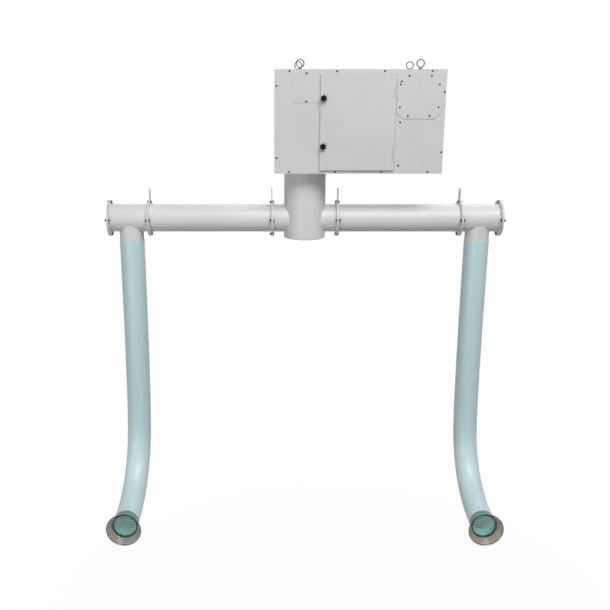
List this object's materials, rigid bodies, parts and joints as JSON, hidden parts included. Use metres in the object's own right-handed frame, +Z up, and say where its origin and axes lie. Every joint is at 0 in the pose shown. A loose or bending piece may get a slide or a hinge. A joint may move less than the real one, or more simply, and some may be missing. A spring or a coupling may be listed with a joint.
{
  "type": "ceiling mounted fume extractor",
  "caption": "Ceiling hung filter and fan casing over a branched duct with a flexible hose and a clear bell hood at each end, to draw off fumes at a workplace.",
  "frame": {"origin": "the middle of the holes in the four eye bolts the unit hangs from", "axes": "+X to the right seen from the front, the filter door faces -Y, +Z up"},
  "size_m": [1.655, 0.5485, 1.953],
  "materials": {
    "casing_paint": "satin",
    "door_paint": "satin",
    "duct_paint": "satin",
    "galvanised": "dull",
    "bright_steel": "bright",
    "dark_steel": "blackened",
    "black_plastic": "matt",
    "gasket_rubber": "matt",
    "gasket_pale": "matt",
    "filter_media": "matt",
    "filter_card": "matt",
    "carbon_media": "matt",
    "motor_paint": "satin",
    "hose_film": "gloss, translucent",
    "hood_clear": "gloss, clear"
  },
  "bodies": {
    "unit": {"casing_shell": "casing_paint", "left_side_panel": "casing_paint", "right_side_panel": "casing_paint", "front_panel": "casing_paint", "front_panel_screws": "dark_steel", "partition_screws": "dark_steel", "door_hinge_pins": "bright_steel", "door_hinge_knuckles": "casing_paint", "door_gasket": "gasket_rubber", "rivet_nuts": "bright_steel", "service_cover": "casing_paint", "service_cover_screws": "dark_steel", "outlet_plate": "casing_paint", "outlet_plate_gasket": "gasket_pale", "outlet_plate_screws": "dark_steel", "eye_bolts": "bright_steel", "eye_bolt_nuts": "bright_steel", "control_box": "galvanised", "terminal_block": "black_plastic", "cable_gland": "black_plastic", "cable_gland_nut": "black_plastic", "inner_partition": "galvanised", "lower_filter_channel": "galvanised", "upper_filter_channel": "galvanised", "pre_filter": "filter_media", "particle_filter": "filter_card", "carbon_filter": "carbon_media", "fan_scroll": "galvanised", "fan_rubber_mounts": "gasket_rubber", "fan_inlet_ring": "galvanised", "motor_bracket": "galvanised", "fan_motor": "motor_paint", "exhaust_grille": "casing_paint", "exhaust_grille_screws": "bright_steel", "inlet_collar": "galvanised", "inlet_collar_screws": "bright_steel", "centre_duct": "duct_paint", "centre_duct_end_cap": "duct_paint", "blind_flanges": "duct_paint", "hanger_lugs": "duct_paint", "flange_gaskets": "gasket_pale", "flange_bolts": "dark_steel", "flange_nuts": "dark_steel", "left_duct": "duct_paint", "left_end_tee": "duct_paint", "right_duct": "duct_paint", "right_end_tee": "duct_paint"},
    "door": {"filter_door": "door_paint"},
    "upper_knob": {"upper_star_knob": "black_plastic", "upper_knob_stud": "bright_steel"},
    "lower_knob": {"lower_star_knob": "black_plastic", "lower_knob_stud": "bright_steel"},
    "impeller": {"fan_impeller": "galvanised", "motor_shaft": "bright_steel"},
    "left_hose": {"left_hose": "hose_film"},
    "right_hose": {"right_hose": "hose_film"},
    "left_hood": {"left_hood": "hood_clear", "left_hood_seal": "gasket_rubber"},
    "right_hood": {"right_hood": "hood_clear", "right_hood_seal": "gasket_rubber"}
  },
  "joints": [
    {"name": "door_hinge", "type": "hinge", "parent": "unit", "child": "door", "pos_m": [0.135, -0.155, -0.221], "axis": [0, 0, 1], "range_deg": [0, 110]},
    {"name": "upper_knob_turn", "type": "hinge", "parent": "door", "child": "upper_knob", "pos_m": [-0.141, -0.17, -0.129], "axis": [0, -1, 0], "continuous": true},
    {"name": "lower_knob_turn", "type": "hinge", "parent": "door", "child": "lower_knob", "pos_m": [-0.141, -0.17, -0.311], "axis": [0, -1, 0], "continuous": true},
    {"name": "impeller_spin", "type": "hinge", "parent": "unit", "child": "impeller", "pos_m": [0.212, -0.005, -0.212], "axis": [1, 0, 0], "continuous": true},
    {"name": "left_hose_swivel", "type": "hinge", "parent": "unit", "child": "left_hose", "pos_m": [-0.931, 0, -0.732], "axis": [0, 0, 1], "range_deg": [-180, 180]},
    {"name": "left_hood_swing", "type": "hinge", "parent": "left_hose", "child": "left_hood", "pos_m": [-0.931, 0, -1.007], "axis": [-1, 0, 0], "range_deg": [-30, 45], "deforming": ["left_hose"]},
    {"name": "right_hose_swivel", "type": "hinge", "parent": "unit", "child": "right_hose", "pos_m": [0.525, 0, -0.732], "axis": [0, 0, 1], "range_deg": [-180, 180]},
    {"name": "right_hood_swing", "type": "hinge", "parent": "right_hose", "child": "right_hood", "pos_m": [0.525, 0, -1.007], "axis": [-1, 0, 0], "range_deg": [-30, 45], "deforming": ["right_hose"]}
  ]
}
